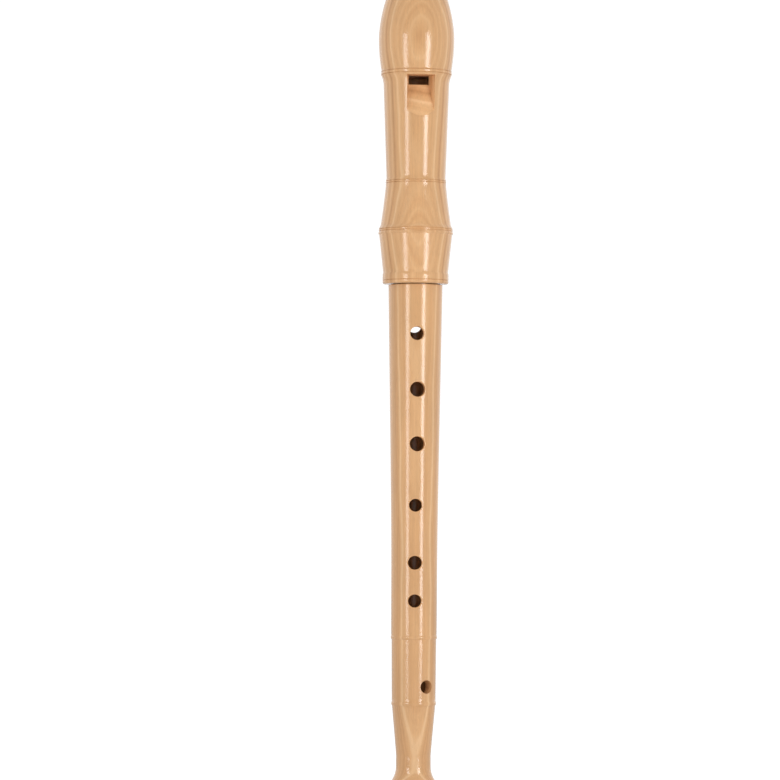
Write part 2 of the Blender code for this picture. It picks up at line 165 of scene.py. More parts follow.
LABIUM_SLOPE = math.radians(25.1)
UNDERCUT_SLOPE = math.radians(8.0)
BULB_PAIR_HEIGHT = WINDOW_TOP + BULB_PAIR_ABOVE_WINDOW

# Holes: distance below the shoulder, diameter, degrees from the front towards +X. Thumb hole last
HOLES = (
    (0.0192, 0.0053, 0.0),
    (0.0409, 0.00585, 2.0),
    (0.0621, 0.0058, 2.0),
    (0.0859, 0.0050, -1.5),
    (0.1082, 0.00535, -2.5),
    (0.1230, 0.0051, -2.5),
    (0.1563, 0.0053, 32.0),
    (0.0153, 0.0060, 180.0),
)
HOLE_RIM = 0.00028                   # radius of the sanded edge around each hole
HOLE_SANDED = math.radians(60.0)     # how much of a quarter circle that edge takes
HOLE_RUN_OUT = 0.0010                # straight run of the cutter past that edge

# Resolution
SIDES = 208
ROW_HEIGHT = 0.0011                  # tallest row of faces on a turned surface
ARC_STEPS = 8
BOW_STEPS = 16
TUBE_STEPS = 60
WAIST_STEPS = 16
COVE_STEPS = 24
BULB_RISE_STEPS = 32
BULB_FALL_STEPS = 16
HOLE_SIDES = 64
HOLE_RIM_STEPS = 5
DRUM_SIDES = 512
SAME_POINT = 0.0000001
MERGE_DISTANCE = 0.000001
SHARP_ANGLE = math.radians(32.0)
OVERRUN = 0.003                      # how far a cutter reaches past what it cuts
FRONT_CLEAR = BULB_RADIUS + OVERRUN

# Noise: scale across the bore, scale along it, detail and roughness. Places are in millimetres
MILLIMETRE = 1000.0
LAYER_WANDER_NOISE = (0.09, 0.022, 3.0, 0.5)
WOOD_FIBRE_NOISE = (1.7, 0.035, 4.0, 0.6)
WOOD_FLECK_NOISE = (5.0, 0.45, 2.0, 0.5)
WOOD_CLOUD_NOISE = (0.11, 0.03, 2.0, 0.5)
VARNISH_NOISE = (2.0, 1.6, 3.0, 0.65)
BARE_GRAIN_NOISE = (4.0, 0.3, 4.0, 0.6)
CEDAR_WANDER_NOISE = (0.2, 0.02, 2.0, 0.5)
CEDAR_FIBRE_NOISE = (4.0, 0.08, 3.0, 0.5)
CORK_PORE_NOISE = (0.9, 0.9, 4.0, 0.7)

# Shades: the values a pattern goes between, and what the colour is multiplied by at each
WOOD_FIBRE_SHADES = (0.30, 0.70, 0.93, 1.05)
WOOD_FLECK_SHADES = (0.28, 0.42, 0.90, 1.02)
WOOD_CLOUD_SHADES = (0.30, 0.70, 0.95, 1.05)
CEDAR_FIBRE_SHADES = (0.30, 0.70, 0.88, 1.06)
CORK_CELL_SHADES = (0.0, 0.8, 1.06, 0.86)

# Bumps: strength, and height in metres
VARNISH_BUMP = (1.0, 0.00003)
BARE_BUMP = (0.6, 0.00003)
CEDAR_BUMP = (0.5, 0.00004)
CORK_BUMP = (0.7, 0.00012)

# Grain: first growth layer in millimetres, lean of the layers, place in the noise
HEAD_GRAIN = (-12.8, 0.0, 11.0)
BODY_GRAIN = (-10.3, 0.004, 37.0)

# Wood
LAYERS_PER_MM = 0.55
LAYER_DETAIL = 2.5
LAYER_WANDER = 2.0                   # millimetres
LAYER_COLOURS = (
    (0.30, (0.520, 0.268, 0.112)),
    (0.44, (0.620, 0.340, 0.152)),
    (0.56, (0.665, 0.382, 0.180)),
    (0.70, (0.740, 0.460, 0.240)),
)
WOOD_ROUGHNESS = 0.5
WOOD_SPECULAR = 0.1
VARNISHED_BRIGHTNESS = 1.0
VARNISH_ROUGHNESS = 0.08
VARNISH_IOR = 1.5
# Bare wood is 1.12 times brighter: partly because uncoated wood is paler, partly as painted light that lifts
# the shade on the ramp, in the windway and in the holes
BARE_PALENESS_AND_PAINTED_LIGHT = 1.12
BARE_ROUGHNESS = 0.65

# Cedar
CEDAR_TURN = math.radians(35.0)      # how its layers lie about the bore
CEDAR_LAYER = 0.9                    # millimetres
CEDAR_COLOURS = (
    (0.0, (0.31, 0.125, 0.058)),
    (0.25, (0.47, 0.22, 0.115)),
    (0.75, (0.42, 0.19, 0.095)),
    (1.0, (0.31, 0.125, 0.058)),
)
CEDAR_ROUGHNESS = 0.6

# Cork
CORK_CELLS_PER_MM = 1.3
CORK_COLOURS = (
    (0.30, (0.13, 0.062, 0.030)),
    (0.42, (0.42, 0.245, 0.125)),
    (0.70, (0.56, 0.36, 0.20)),
)
CORK_ROUGHNESS = 0.7

# Floor and surround
WHITE = (1.0, 1.0, 1.0, 1.0)
FLOOR_COLOUR = (0.85, 0.85, 0.85, 1.0)
FLOOR_ROUGHNESS = 0.9
FLOOR_GLOW = 0.42                    # what the camera alone sees the floor give off
FLOOR_HALF = 4.0
FLOOR_HEIGHT = -0.0002
SURROUND_LIGHT = 0.78
SURROUND_SLOPE = 0.30                # how much brighter behind and dimmer at the camera's side

# Softboxes: name, degrees to the right of the camera, brightness of the face
SOFTBOXES = (
    ("left_softbox", -34.0, 6.0),
    ("right_softbox", 36.0, 9.0),
)
SOFTBOX_DISTANCE = 0.9
SOFTBOX_WIDTH = 0.20
SOFTBOX_HEIGHT = 0.445
SOFTBOX_STAND = 0.005

# Camera
PHOTO_PIXELS = 780
PIXEL = 0.00039                      # real size of one pixel of the photograph at the flute
AXIS_COLUMN = 415.0                  # where the bore's axis crosses the photograph
CAMERA_DISTANCE = 1.515
CAMERA_HEIGHT = 0.115
CAMERA_AZIMUTH = math.radians(-4.2)
CAMERA_ROLL = math.radians(0.27)
VIEW_HEIGHT = 0.1618                 # height at the photograph's middle row
SENSOR_WIDTH = 36.0                  # millimetres


def new_object(name, data):
    """Puts a mesh, a light or a camera into the scene."""
    made = bpy.data.objects.new(name, data)
    bpy.context.scene.collection.objects.link(made)
    return made


def fill(tree, node, inputs):
    """Gives a node's inputs numbers, colours or other nodes' outputs, by name or by place."""
    for name, value in inputs.items():
        if isinstance(value, bpy.types.NodeSocket):
            tree.links.new(value, node.inputs[name])
        else:
            node.inputs[name].default_value = value


def new_node(tree, kind, inputs=None, **settings):
    """Adds a node with its settings and inputs."""
    node = tree.nodes.new(kind)
    for name, value in settings.items():
        setattr(node, name, value)
    fill(tree, node, inputs or {})
    return node


def maths(tree, operation, first, second=0.0):
    """The result of one operation on numbers or other nodes' outputs."""
    return new_node(tree, "ShaderNodeMath", {0: first, 1: second}, operation=operation).outputs[0]


# Outlines, each a list of (radius, height)

def arc(centre, radius, first_degrees, last_degrees, steps=ARC_STEPS):
    """Points along part of a circle."""
    points = []
    for step in range(steps + 1):
        angle = math.radians(first_degrees + (last_degrees - first_degrees) * step / steps)
        points.append((centre[0] + radius * math.cos(angle), centre[1] + radius * math.sin(angle)))
    return points


def bowed(start, end, bow):
    """Points from start to end on a shallow curve that stands out by bow at its middle."""
    points = []
    for step in range(BOW_STEPS + 1):
        share = step / BOW_STEPS
        radius = start[0] + (end[0] - start[0]) * share + 4.0 * bow * share * (1.0 - share)
        points.append((radius, start[1] + (end[1] - start[1]) * share))
    return points


def line(height, radius):
    """A fine groove turned into the surface, round at its bottom."""
    points = []
    for step in range(ARC_STEPS + 1):
        share = 2.0 * step / ARC_STEPS - 1.0
        points.append((radius - LINE_DEPTH * math.cos(0.5 * math.pi * share) ** 2,
                       height - LINE_HALF_WIDTH * share))
    return points


def double_line(height, radius, spacing):
    """Two lines, the same way above and below a height."""
    return line(height + 0.5 * spacing, radius) + line(height - 0.5 * spacing, radius)


def bead(height, length, radius_above, radius_below):
    """A low round ring left standing on the surface."""
    return bowed((radius_above, height + 0.5 * length), (radius_below, height - 0.5 * length), BEAD_PROUD)


def smooth(knots, steps):
    """An outline through a few knots with no corner at any of them."""
    slopes = []
    for index in range(len(knots)):
        before = knots[max(index - 1, 0)]
        after = knots[min(index + 1, len(knots) - 1)]
        slopes.append((after[0] - before[0]) / (after[1] - before[1]))
    points = []
    for index in range(len(knots) - 1):
        (start, top), (end, bottom) = knots[index], knots[index + 1]
        span = bottom - top
        for step in range(steps):
            share = step / steps
            blend = share * share * (3.0 - 2.0 * share)
            lead = share * (1.0 - share) ** 2 * slopes[index]
            trail = share * share * (share - 1.0) * slopes[index + 1]
            points.append((start + (end - start) * blend + span * (lead + trail), top + span * share))
    points.append(knots[-1])
    return points


def in_rows(outline):
    """The same closed outline with its long stretches cut into rows."""
    points = []
    for index, start in enumerate(outline):
        end = outline[(index + 1) % len(outline)]
        length = math.dist(start, end)
        if length < SAME_POINT:
            continue
        rows = max(1, math.ceil(length / ROW_HEIGHT))
        for row in range(rows):
            share = row / rows
            points.append((start[0] + (end[0] - start[0]) * share, start[1] + (end[1] - start[1]) * share))
    return points


def beak_and_bulb():
    """From the tip's eased edge over the widest part to the pair of lines above the window."""
    points = arc((TIP_RADIUS - TIP_EDGE, TIP - TIP_EDGE), TIP_EDGE, 90.0, 0.0)
    rise = TIP - TIP_EDGE - BULB_HEIGHT
    for step in range(1, BULB_RISE_STEPS + 1):
        share = 1.0 - step / BULB_RISE_STEPS
        points.append((BULB_RADIUS - (BULB_RADIUS - TIP_RADIUS) * share ** BULB_SWELL_POWER,
                       BULB_HEIGHT + rise * share))
    fall = BULB_HEIGHT - BULB_PAIR_HEIGHT - BULB_PAIR_HALF_HEIGHT - LINE_HALF_WIDTH
    for step in range(1, BULB_FALL_STEPS + 1):
        share = step / BULB_FALL_STEPS
        points.append((BULB_RADIUS - (BULB_RADIUS - BULB_BOTTOM_RADIUS) * share ** 2,
                       BULB_HEIGHT - fall * share))
    return points + double_line(BULB_PAIR_HEIGHT, BULB_BOTTOM_RADIUS + 0.5 * LINE_DEPTH, BULB_LINE_SPACING)


def neck():
    """A short hollow and a long straight taper, from the bulb's pair of lines to the flare's."""
    cove_top = BULB_PAIR_HEIGHT - BULB_PAIR_HALF_HEIGHT - LINE_HALF_WIDTH
    points = bowed((BULB_BOTTOM_RADIUS, cove_top), (NECK_TOP_RADIUS, cove_top - NECK_TOP_COVE),
                   -NECK_TOP_HOLLOW)
    points.append((NECK_BOTTOM_RADIUS, FLARE_PAIR_HEIGHT + PAIR_HALF_HEIGHT + NECK_BOTTOM_COVE))
    return points + double_line(FLARE_PAIR_HEIGHT, FLARE_TOP_RADIUS, LINE_SPACING)


def flare_and_ferrule():
    """From the flare's pair of lines down to the beaded end around the socket's mouth."""
    points = bowed((FLARE_TOP_RADIUS, FLARE_PAIR_HEIGHT - PAIR_HALF_HEIGHT - NECK_BOTTOM_COVE),
                   (FLARE_BOTTOM_RADIUS, FERRULE_PAIR_HEIGHT + PAIR_HALF_HEIGHT + FLARE_COVE),
                   -FLARE_HOLLOW)
    points += double_line(FERRULE_PAIR_HEIGHT, FERRULE_RADIUS, LINE_SPACING)
    points += bowed((FERRULE_RADIUS, FERRULE_BEAD_TOP - LINE_HALF_WIDTH),
                    (FERRULE_TOP_RADIUS, FERRULE_BEAD_TOP - FERRULE_BEAD_LENGTH), BEAD_PROUD)
    points.append((FERRULE_BOTTOM_RADIUS, HEAD_END + SOCKET_END_BEAD + LINE_HALF_WIDTH))
    points.append((SOCKET_BEAD_RADIUS, HEAD_END + SOCKET_END_BEAD - 2.0 * LINE_HALF_WIDTH))
    points += line(HEAD_END + SOCKET_END_GROOVE, SOCKET_BEAD_RADIUS)
    points += arc((SOCKET_BEAD_RADIUS - SOCKET_END_EDGE, HEAD_END + SOCKET_END_EDGE),
                  SOCKET_END_EDGE, 0.0, -90.0)
    return points


def head_inside():
    """The socket and the straight bore above it."""
    return [
        (SOCKET_RADIUS + SOCKET_CHAMFER, HEAD_END),
        (SOCKET_RADIUS, HEAD_END + SOCKET_CHAMFER),
        (SOCKET_RADIUS, HEAD_END + SOCKET_DEPTH),
        (HEAD_BORE_RADIUS, HEAD_END + SOCKET_DEPTH),
        (HEAD_BORE_RADIUS, TIP),
    ]


def tenon():
    """From the tenon's end past the groove for the cork down to the shoulder."""
    groove_radius = TENON_RADIUS - CORK_GROOVE_DEPTH
    groove_top = CORK_TOP + GAP
    groove_bottom = CORK_BOTTOM - GAP
    return [
        (TENON_RADIUS - TENON_CHAMFER, TENON_TOP),
        (TENON_RADIUS, TENON_TOP - TENON_CHAMFER),
        (TENON_RADIUS, groove_top),
        (groove_radius, groove_top),
        (groove_radius, groove_bottom),
        (TENON_RADIUS, groove_bottom),
        (TENON_RADIUS, TUBE_LENGTH),
    ]


def tube():
    """The long taper between the shoulder and the foot's upper bead."""
    foot_ring_top = FOOT_RING_HEIGHT + 0.5 * FOOT_RING_LENGTH
    return smooth([(TUBE_TOP_RADIUS, TUBE_LENGTH - SHOULDER_EDGE), (TUBE_BEND_RADIUS, TUBE_BEND_HEIGHT),
                   (FOOT_RING_TOP_RADIUS, foot_ring_top + LINE_HALF_WIDTH)], TUBE_STEPS)


def waist_and_bell():
    """From under the foot's lower bead over the waist to the foot's end face."""
    bell_ring_bottom = BELL_RING_HEIGHT - 0.5 * BELL_RING_LENGTH
    points = smooth([(BELL_RING_BOTTOM_RADIUS, bell_ring_bottom - LINE_HALF_WIDTH),
                     (WAIST_RADIUS, WAIST_TOP), (WAIST_RADIUS, WAIST_MIDDLE)], WAIST_STEPS)[1:]
    points += arc((WAIST_RADIUS + BELL_COVE_RADIUS, WAIST_BOTTOM), BELL_COVE_RADIUS,
                  180.0, 180.0 + BELL_COVE_SWEEP, COVE_STEPS)
    rim_radius, rim_top = points[-1]
    foot_radius = rim_radius - BELL_RIM_TAPER
    points += line(rim_top - LINE_HALF_WIDTH, rim_radius)[1:]
    points += bowed(points[-1], (foot_radius, BELL_EDGE), BELL_RIM_BULGE)[1:-1]
    points += arc((foot_radius - BELL_EDGE, BELL_EDGE), BELL_EDGE, 0.0, -90.0)
    return points


def body_outside():
    """The body's outside, from the tenon's end down to the foot's end face."""
    points = tenon()
    points += arc((TUBE_TOP_RADIUS - SHOULDER_EDGE, TUBE_LENGTH - SHOULDER_EDGE), SHOULDER_EDGE, 90.0, 0.0)
    points += tube()[1:]
    points += bead(FOOT_RING_HEIGHT, FOOT_RING_LENGTH, FOOT_RING_TOP_RADIUS, FOOT_RING_BOTTOM_RADIUS)
    points += bead(BELL_RING_HEIGHT, BELL_RING_LENGTH, BELL_RING_TOP_RADIUS, BELL_RING_BOTTOM_RADIUS)
    return points + waist_and_bell()


def body_inside():
    """The bore, which narrows from the tenon to the waist and opens again in the bell."""
    waist_bore = WAIST_RADIUS - WAIST_WALL
    bell_bore = waist_bore + BELL_BORE_FLARE
    return [
        (bell_bore + BELL_BORE_CHAMFER, 0.0),
        (bell_bore, BELL_BORE_CHAMFER),
        (waist_bore, WAIST_MIDDLE),
        (TENON_RADIUS - TENON_WALL, TENON_TOP),
    ]


def cork_outline():
    """A sleeve with eased ends that swells a little at its middle."""
    inner = TENON_RADIUS - CORK_GROOVE_DEPTH + GAP
    outer = TENON_RADIUS
    edge = 0.5 * GAP
    return (arc((outer - edge, CORK_TOP - edge), edge, 90.0, 0.0)
            + bowed((outer, CORK_TOP - edge), (outer, CORK_BOTTOM + edge), CORK_PROUD)[1:-1]
            + arc((outer - edge, CORK_BOTTOM + edge), edge, 0.0, -90.0)
            + [(inner, CORK_BOTTOM), (inner, CORK_TOP)])


# Solid shapes

def turned_place(tree, given, corners, columns):
    """Where a grid's points go: its rows follow the outline, its columns go round the bore."""
    index = new_node(tree, "GeometryNodeInputIndex").outputs[0]
    row = maths(tree, "FLOOR", maths(tree, "DIVIDE", maths(tree, "ADD", index, 0.5), columns))
    column = maths(tree, "SUBTRACT", index, maths(tree, "MULTIPLY", row, columns))
    corner = new_node(tree, "GeometryNodeSampleIndex",
                      {"Geometry": given.outputs["Outline"],
                       "Value": new_node(tree, "GeometryNodeInputPosition").outputs[0],
                       "Index": maths(tree, "FLOORED_MODULO", row, corners)},
                      data_type="FLOAT_VECTOR", domain="POINT")
    turn = maths(tree, "MULTIPLY", maths(tree, "DIVIDE", column, given.outputs["Sides"]), math.tau)
    place = new_node(tree, "ShaderNodeVectorRotate", {"Vector": corner.outputs["Value"], "Angle": turn},
                     rotation_type="Z_AXIS")
    return place.outputs["Vector"]


def turning_tree():
    """A node tree that turns an outline of (radius, 0, height) points into a round piece."""
    tree = bpy.data.node_groups.new("turned_piece", "GeometryNodeTree")
    tree.interface.new_socket("Outline", in_out="INPUT", socket_type="NodeSocketGeometry")
    tree.interface.new_socket("Sides", in_out="INPUT", socket_type="NodeSocketInt")
    tree.interface.new_socket("Finish", in_out="INPUT", socket_type="NodeSocketMaterial")
    tree.interface.new_socket("Piece", in_out="OUTPUT", socket_type="NodeSocketGeometry")
    given = new_node(tree, "NodeGroupInput")
    size = new_node(tree, "GeometryNodeAttributeDomainSize", {"Geometry": given.outputs["Outline"]})
    corners = size.outputs["Point Count"]
    columns = maths(tree, "ADD", given.outputs["Sides"], 1.0)
    grid = new_node(tree, "GeometryNodeMeshGrid",
                    {"Vertices X": maths(tree, "ADD", corners, 1.0), "Vertices Y": columns})
    place = turned_place(tree, given, corners, columns)
    shaped = new_node(tree, "GeometryNodeSetPosition",
                      {"Geometry": grid.outputs["Mesh"], "Position": place})
    closed = new_node(tree, "GeometryNodeMergeByDistance",
                      {"Geometry": shaped.outputs["Geometry"], "Distance": MERGE_DISTANCE})
    plain = new_node(tree, "GeometryNodeRealizeInstances", {"Geometry": closed.outputs["Geometry"]})
    dressed = new_node(tree, "GeometryNodeSetMaterial",
                       {"Geometry": plain.outputs["Geometry"], "Material": given.outputs["Finish"]})
    new_node(tree, "NodeGroupOutput", {"Piece": dressed.outputs["Geometry"]})
    return tree


def as_plain_mesh(piece):
    """Bakes the modifiers into the mesh and turns its faces outwards."""
    graph = bpy.context.evaluated_depsgraph_get()
    mesh = bpy.data.meshes.new_from_object(piece.evaluated_get(graph))
    piece.modifiers.clear()
    piece.data = mesh
    bm = bmesh.new()
    bm.from_mesh(mesh)
    bmesh.ops.remove_doubles(bm, verts=bm.verts, dist=MERGE_DISTANCE)
    bmesh.ops.recalc_face_normals(bm, faces=bm.faces)
    bm.to_mesh(mesh)
    bm.free()


def turned(name, outline, tree, finish):
    """A round piece with a closed outline."""
    rows = in_rows(outline)
    mesh = bpy.data.meshes.new(name)
    edges = [(index, (index + 1) % len(rows)) for index in range(len(rows))]
    mesh.from_pydata([(radius, 0.0, height) for radius, height in rows], edges, [])
    piece = new_object(name, mesh)
    modifier = piece.modifiers.new("turned", "NODES")
    modifier.node_group = tree
    sockets = tree.interface.items_tree
    modifier[sockets["Sides"].identifier] = SIDES
    modifier[sockets["Finish"].identifier] = finish
    as_plain_mesh(piece)
    return piece


def new_solid(name, bm, finish):
    """A closed form in one finish, with its faces turned outwards."""
    bmesh.ops.recalc_face_normals(bm, faces=bm.faces)
    mesh = bpy.data.meshes.new(name)
    bm.to_mesh(mesh)
    bm.free()
    mesh.materials.append(finish)
    return new_object(name, mesh)


def prism(name, outline, half_width, flare, finish):
    """A block over an outline of (distance in front of the axis, height), turned with the head.

    It reaches half_width to each side at the outline's first point, and leans out by flare from there.
    """
    bm = bmesh.new()
    face = bm.faces.new([bm.verts.new((-1.0, -front, height)) for front, height in outline])
    for part in bmesh.ops.extrude_face_region(bm, geom=[face])["geom"]:
        if isinstance(part, bmesh.types.BMVert):
            part.co.x = 1.0
    for vert in bm.verts:
        vert.co.x *= half_width + (-vert.co.y - outline[0][0]) * math.tan(flare)
    bm.transform(Matrix.Rotation(HEAD_TURN, 4, "Z"))
    return new_solid(name, bm, finish)


def tube_radius(height, outline):
    """The tube's radius at a height."""
    for (upper_radius, upper), (lower_radius, lower) in zip(outline, outline[1:]):
        if upper >= height >= lower:
            share = (upper - height) / (upper - lower)
            return upper_radius + (lower_radius - upper_radius) * share
    return outline[-1][0]


def hole_profile(radius):
    """The rings of a hole, each its radius and its depth under the tube's surface. The first has none."""
    profile = [(radius, None)]
    for step in range(HOLE_RIM_STEPS + 1):
        angle = HOLE_SANDED * step / HOLE_RIM_STEPS
        profile.append((radius + HOLE_RIM * (1.0 - math.cos(angle)), HOLE_RIM * (1.0 - math.sin(angle))))
    widest, depth = profile[-1]
    widest += HOLE_RUN_OUT * math.sin(HOLE_SANDED)
    profile.append((widest, depth - HOLE_RUN_OUT * math.cos(HOLE_SANDED)))
    profile.append((widest, -OVERRUN))
    return profile


def hole_ring(bm, radius, depth, middle, outline):
    """One ring of a hole. It follows the tube's surface, or lies at the axis if it has no depth."""
    ring = []
    for side in range(HOLE_SIDES):
        angle = math.tau * side / HOLE_SIDES
        across = radius * math.sin(angle)
        height = middle + radius * math.cos(angle)
        surface = math.sqrt(tube_radius(height, outline) ** 2 - across ** 2)
        front = 0.0 if depth is None else surface - depth
        ring.append(bm.verts.new((across, -front, height)))
    return ring


def hole_cutter(name, hole, outline, finish):
    """A round hole from the axis out, with an edge that follows the tube and is sanded round."""
    below_shoulder, diameter, turn_degrees = hole
    middle = TUBE_LENGTH - below_shoulder
    bm = bmesh.new()
    rings = [hole_ring(bm, radius, depth, middle, outline) for radius, depth in hole_profile(0.5 * diameter)]
    for inner, outer in zip(rings, rings[1:]):
        for side in range(HOLE_SIDES):
            after = (side + 1) % HOLE_SIDES
            bm.faces.new((inner[side], inner[after], outer[after], outer[side]))
    bm.faces.new(rings[0])
    bm.faces.new(rings[-1])
    bm.transform(Matrix.Rotation(math.radians(turn_degrees), 4, "Z"))
    return new_solid(name, bm, finish)


def beak_drum(finish):
    """The large drum that hollows the back of the beak, its axis across the head."""
    reach = math.sqrt(BEAK_CUT_RADIUS ** 2 - BEAK_CUT_ABOVE_TIP ** 2) - BEAK_CUT_PAST_AXIS
    bm = bmesh.new()
    bmesh.ops.create_cone(bm, cap_ends=True, segments=DRUM_SIDES, radius1=BEAK_CUT_RADIUS,
                          radius2=BEAK_CUT_RADIUS, depth=2.0 * FRONT_CLEAR)
    bm.transform(Matrix.Rotation(math.radians(90.0), 4, "Y"))
    bm.transform(Matrix.Translation((0.0, reach, TIP + BEAK_CUT_ABOVE_TIP)))
    bm.transform(Matrix.Rotation(HEAD_TURN, 4, "Z"))
    return new_solid("beak_drum", bm, finish)


def cut(piece, cutters, operation="DIFFERENCE"):
    """Cuts the cutters out of a piece, or joins them to it, and removes them."""
    for cutter in cutters:
        modifier = piece.modifiers.new(cutter.name, "BOOLEAN")
        modifier.object = cutter
        modifier.operation = operation
        modifier.solver = "EXACT"
        modifier.material_mode = "TRANSFER"
    as_plain_mesh(piece)
    for cutter in cutters:
        bpy.data.objects.remove(cutter, do_unlink=True)


def finish_edges(piece):
    """Shades the round surfaces smooth and leaves the cut edges crisp."""
    piece.data.shade_smooth()
    piece.data.set_sharp_from_angle(angle=SHARP_ANGLE)


# Finishes

def millimetres(tree, turn=0.0):
    """The place on a piece in millimetres, turned about the bore."""
    place = new_node(tree, "ShaderNodeTexCoord").outputs["Object"]
    mapping = new_node(tree, "ShaderNodeMapping", {"Vector": place, "Rotation": (0.0, 0.0, turn),
                                                   "Scale": (MILLIMETRE, MILLIMETRE, MILLIMETRE)})
    return mapping.outputs["Vector"]


def noise(tree, place, pattern, shift=0.0):
    """One of the noises named above, moved by shift."""
    across, along, detail, roughness = pattern
    mapping = new_node(tree, "ShaderNodeMapping", {"Vector": place, "Location": (shift, shift, shift),
                                                   "Scale": (across, across, along)})
    texture = new_node(tree, "ShaderNodeTexNoise", {"Vector": mapping.outputs["Vector"], "Scale": 1.0,
                                                    "Detail": detail, "Roughness": roughness})
    return texture.outputs["Fac"]


def ramp(tree, value, stops):
    """A colour that goes through the stops, each a value and its colour."""
    node = new_node(tree, "ShaderNodeValToRGB", {"Fac": value})
    elements = node.color_ramp.elements
    while len(elements) < len(stops):
        elements.new(0.5)
    for element, (position, colour) in zip(elements, stops):
        element.position = position
        element.color = (*colour, 1.0)
    return node.outputs["Color"]


def shade(tree, colour, value, shades):
    """Multiplies a colour by a grey that follows a value, by one of the shades named above."""
    low, high, low_grey, high_grey = shades
    grey = new_node(tree, "ShaderNodeMapRange", {"Value": value, "From Min": low, "From Max": high,
                                                 "To Min": low_grey, "To Max": high_grey})
    mix = new_node(tree, "ShaderNodeMix", {"Factor": 1.0, "A": colour, "B": grey.outputs["Result"]},
                   data_type="RGBA", blend_type="MULTIPLY")
    return mix.outputs["Result"]


def bump(tree, height, size):
    """The surface's normals with one of the bumps named above."""
    strength, distance = size
    node = new_node(tree, "ShaderNodeBump", {"Height": height, "Strength": strength, "Distance": distance})
    return node.outputs["Normal"]


def new_finish(name):
    """A new material, its node tree and its shader."""
    material = bpy.data.materials.new(name)
    material.use_nodes = True
    return material, material.node_tree, material.node_tree.nodes["Principled BSDF"]


def flat_sawn_colour(tree, place, grain, brightness):
    """Pale wood in growth layers that lie across the Y axis and run along the bore."""
    first_layer, lean, shift = grain
    parts = new_node(tree, "ShaderNodeSeparateXYZ", {"Vector": place})
    wave = maths(tree, "SUBTRACT", noise(tree, place, LAYER_WANDER_NOISE, shift), 0.5)
    slope = maths(tree, "MULTIPLY", parts.outputs["Z"], lean)
    depth = maths(tree, "ADD", maths(tree, "ADD", parts.outputs["Y"], slope),
                  maths(tree, "MULTIPLY", wave, LAYER_WANDER))
    layers = new_node(tree, "ShaderNodeTexNoise",
                      {"W": maths(tree, "ADD", depth, first_layer), "Scale": LAYERS_PER_MM,
                       "Detail": LAYER_DETAIL}, noise_dimensions="1D")
    stops = [(value, tuple(brightness * channel for channel in tint)) for value, tint in LAYER_COLOURS]
    colour = ramp(tree, layers.outputs["Fac"], stops)
    colour = shade(tree, colour, noise(tree, place, WOOD_FIBRE_NOISE, shift), WOOD_FIBRE_SHADES)
    colour = shade(tree, colour, noise(tree, place, WOOD_FLECK_NOISE, shift), WOOD_FLECK_SHADES)
    return shade(tree, colour, noise(tree, place, WOOD_CLOUD_NOISE, -shift), WOOD_CLOUD_SHADES)


def varnished_wood(name, grain):
    """Clear gloss varnish, a little uneven, over flat-sawn wood."""
    material, tree, shader = new_finish(name)
    place = millimetres(tree)
    uneven = bump(tree, noise(tree, place, VARNISH_NOISE, grain[2]), VARNISH_BUMP)
    fill(tree, shader, {
        "Base Color": flat_sawn_colour(tree, place, grain, VARNISHED_BRIGHTNESS),
        "Roughness": WOOD_ROUGHNESS,
        "Specular IOR Level": WOOD_SPECULAR,
        "Normal": uneven,
        "Coat Weight": 1.0,
        "Coat Roughness": VARNISH_ROUGHNESS,
        "Coat IOR": VARNISH_IOR,
        "Coat Normal": uneven,
    })
    return material


def bare_wood(name, grain):
    """The same wood where it was cut after varnishing, with no gloss. Its colour is made lighter, partly
    because bare wood is paler and partly as painted light that lifts the shade on the ramp, in the windway
    and in the holes.
    """
    material, tree, shader = new_finish(name)
    place = millimetres(tree)
    fill(tree, shader, {
        "Base Color": flat_sawn_colour(tree, place, grain, BARE_PALENESS_AND_PAINTED_LIGHT),
        "Roughness": BARE_ROUGHNESS,
        "Normal": bump(tree, noise(tree, place, BARE_GRAIN_NOISE, grain[2]), BARE_BUMP),
    })
    return material


def block_cedar():
    """Bare red cedar with fine straight grain along the bore."""
    material, tree, shader = new_finish("block_cedar")
    place = millimetres(tree, CEDAR_TURN)
    parts = new_node(tree, "ShaderNodeSeparateXYZ", {"Vector": place})
    layer = maths(tree, "DIVIDE", parts.outputs["X"], CEDAR_LAYER)
    layer = maths(tree, "FRACT", maths(tree, "ADD", layer, noise(tree, place, CEDAR_WANDER_NOISE)))
    fibre = noise(tree, place, CEDAR_FIBRE_NOISE)
    fill(tree, shader, {
        "Base Color": shade(tree, ramp(tree, layer, CEDAR_COLOURS), fibre, CEDAR_FIBRE_SHADES),
        "Roughness": CEDAR_ROUGHNESS,
        "Normal": bump(tree, fibre, CEDAR_BUMP),
    })
    return material


def greased_cork():
    """Sanded cork: pale cells with darker pores between them."""
    material, tree, shader = new_finish("cork")
    place = millimetres(tree)
    cells = new_node(tree, "ShaderNodeTexVoronoi", {"Vector": place, "Scale": CORK_CELLS_PER_MM})
    pores = noise(tree, place, CORK_PORE_NOISE)
    colour = ramp(tree, pores, CORK_COLOURS)
    fill(tree, shader, {
        "Base Color": shade(tree, colour, cells.outputs["Distance"], CORK_CELL_SHADES),
        "Roughness": CORK_ROUGHNESS,
        "Normal": bump(tree, pores, CORK_BUMP),
    })
    return material


# Pieces

def window_outline():
    """The window, with the undercut behind the labium."""
    undercut = (LABIUM_BACK - WINDWAY_CUT_BACK) / math.tan(UNDERCUT_SLOPE)
    return [(WINDWAY_CUT_BACK, WINDOW_TOP), (LABIUM_FRONT, WINDOW_TOP), (LABIUM_FRONT, WINDOW_BOTTOM),
            (LABIUM_BACK, WINDOW_BOTTOM), (WINDWAY_CUT_BACK, WINDOW_BOTTOM - undercut)]


def ramp_outline():
    """The ramp that slopes down to the labium's edge, and what is open above it."""
    ramp_length = (FRONT_CLEAR - LABIUM_FRONT) / math.tan(LABIUM_SLOPE)
    return [(LABIUM_FRONT, WINDOW_TOP), (FRONT_CLEAR, WINDOW_TOP),
            (FRONT_CLEAR, WINDOW_BOTTOM - ramp_length), (LABIUM_FRONT, WINDOW_BOTTOM)]


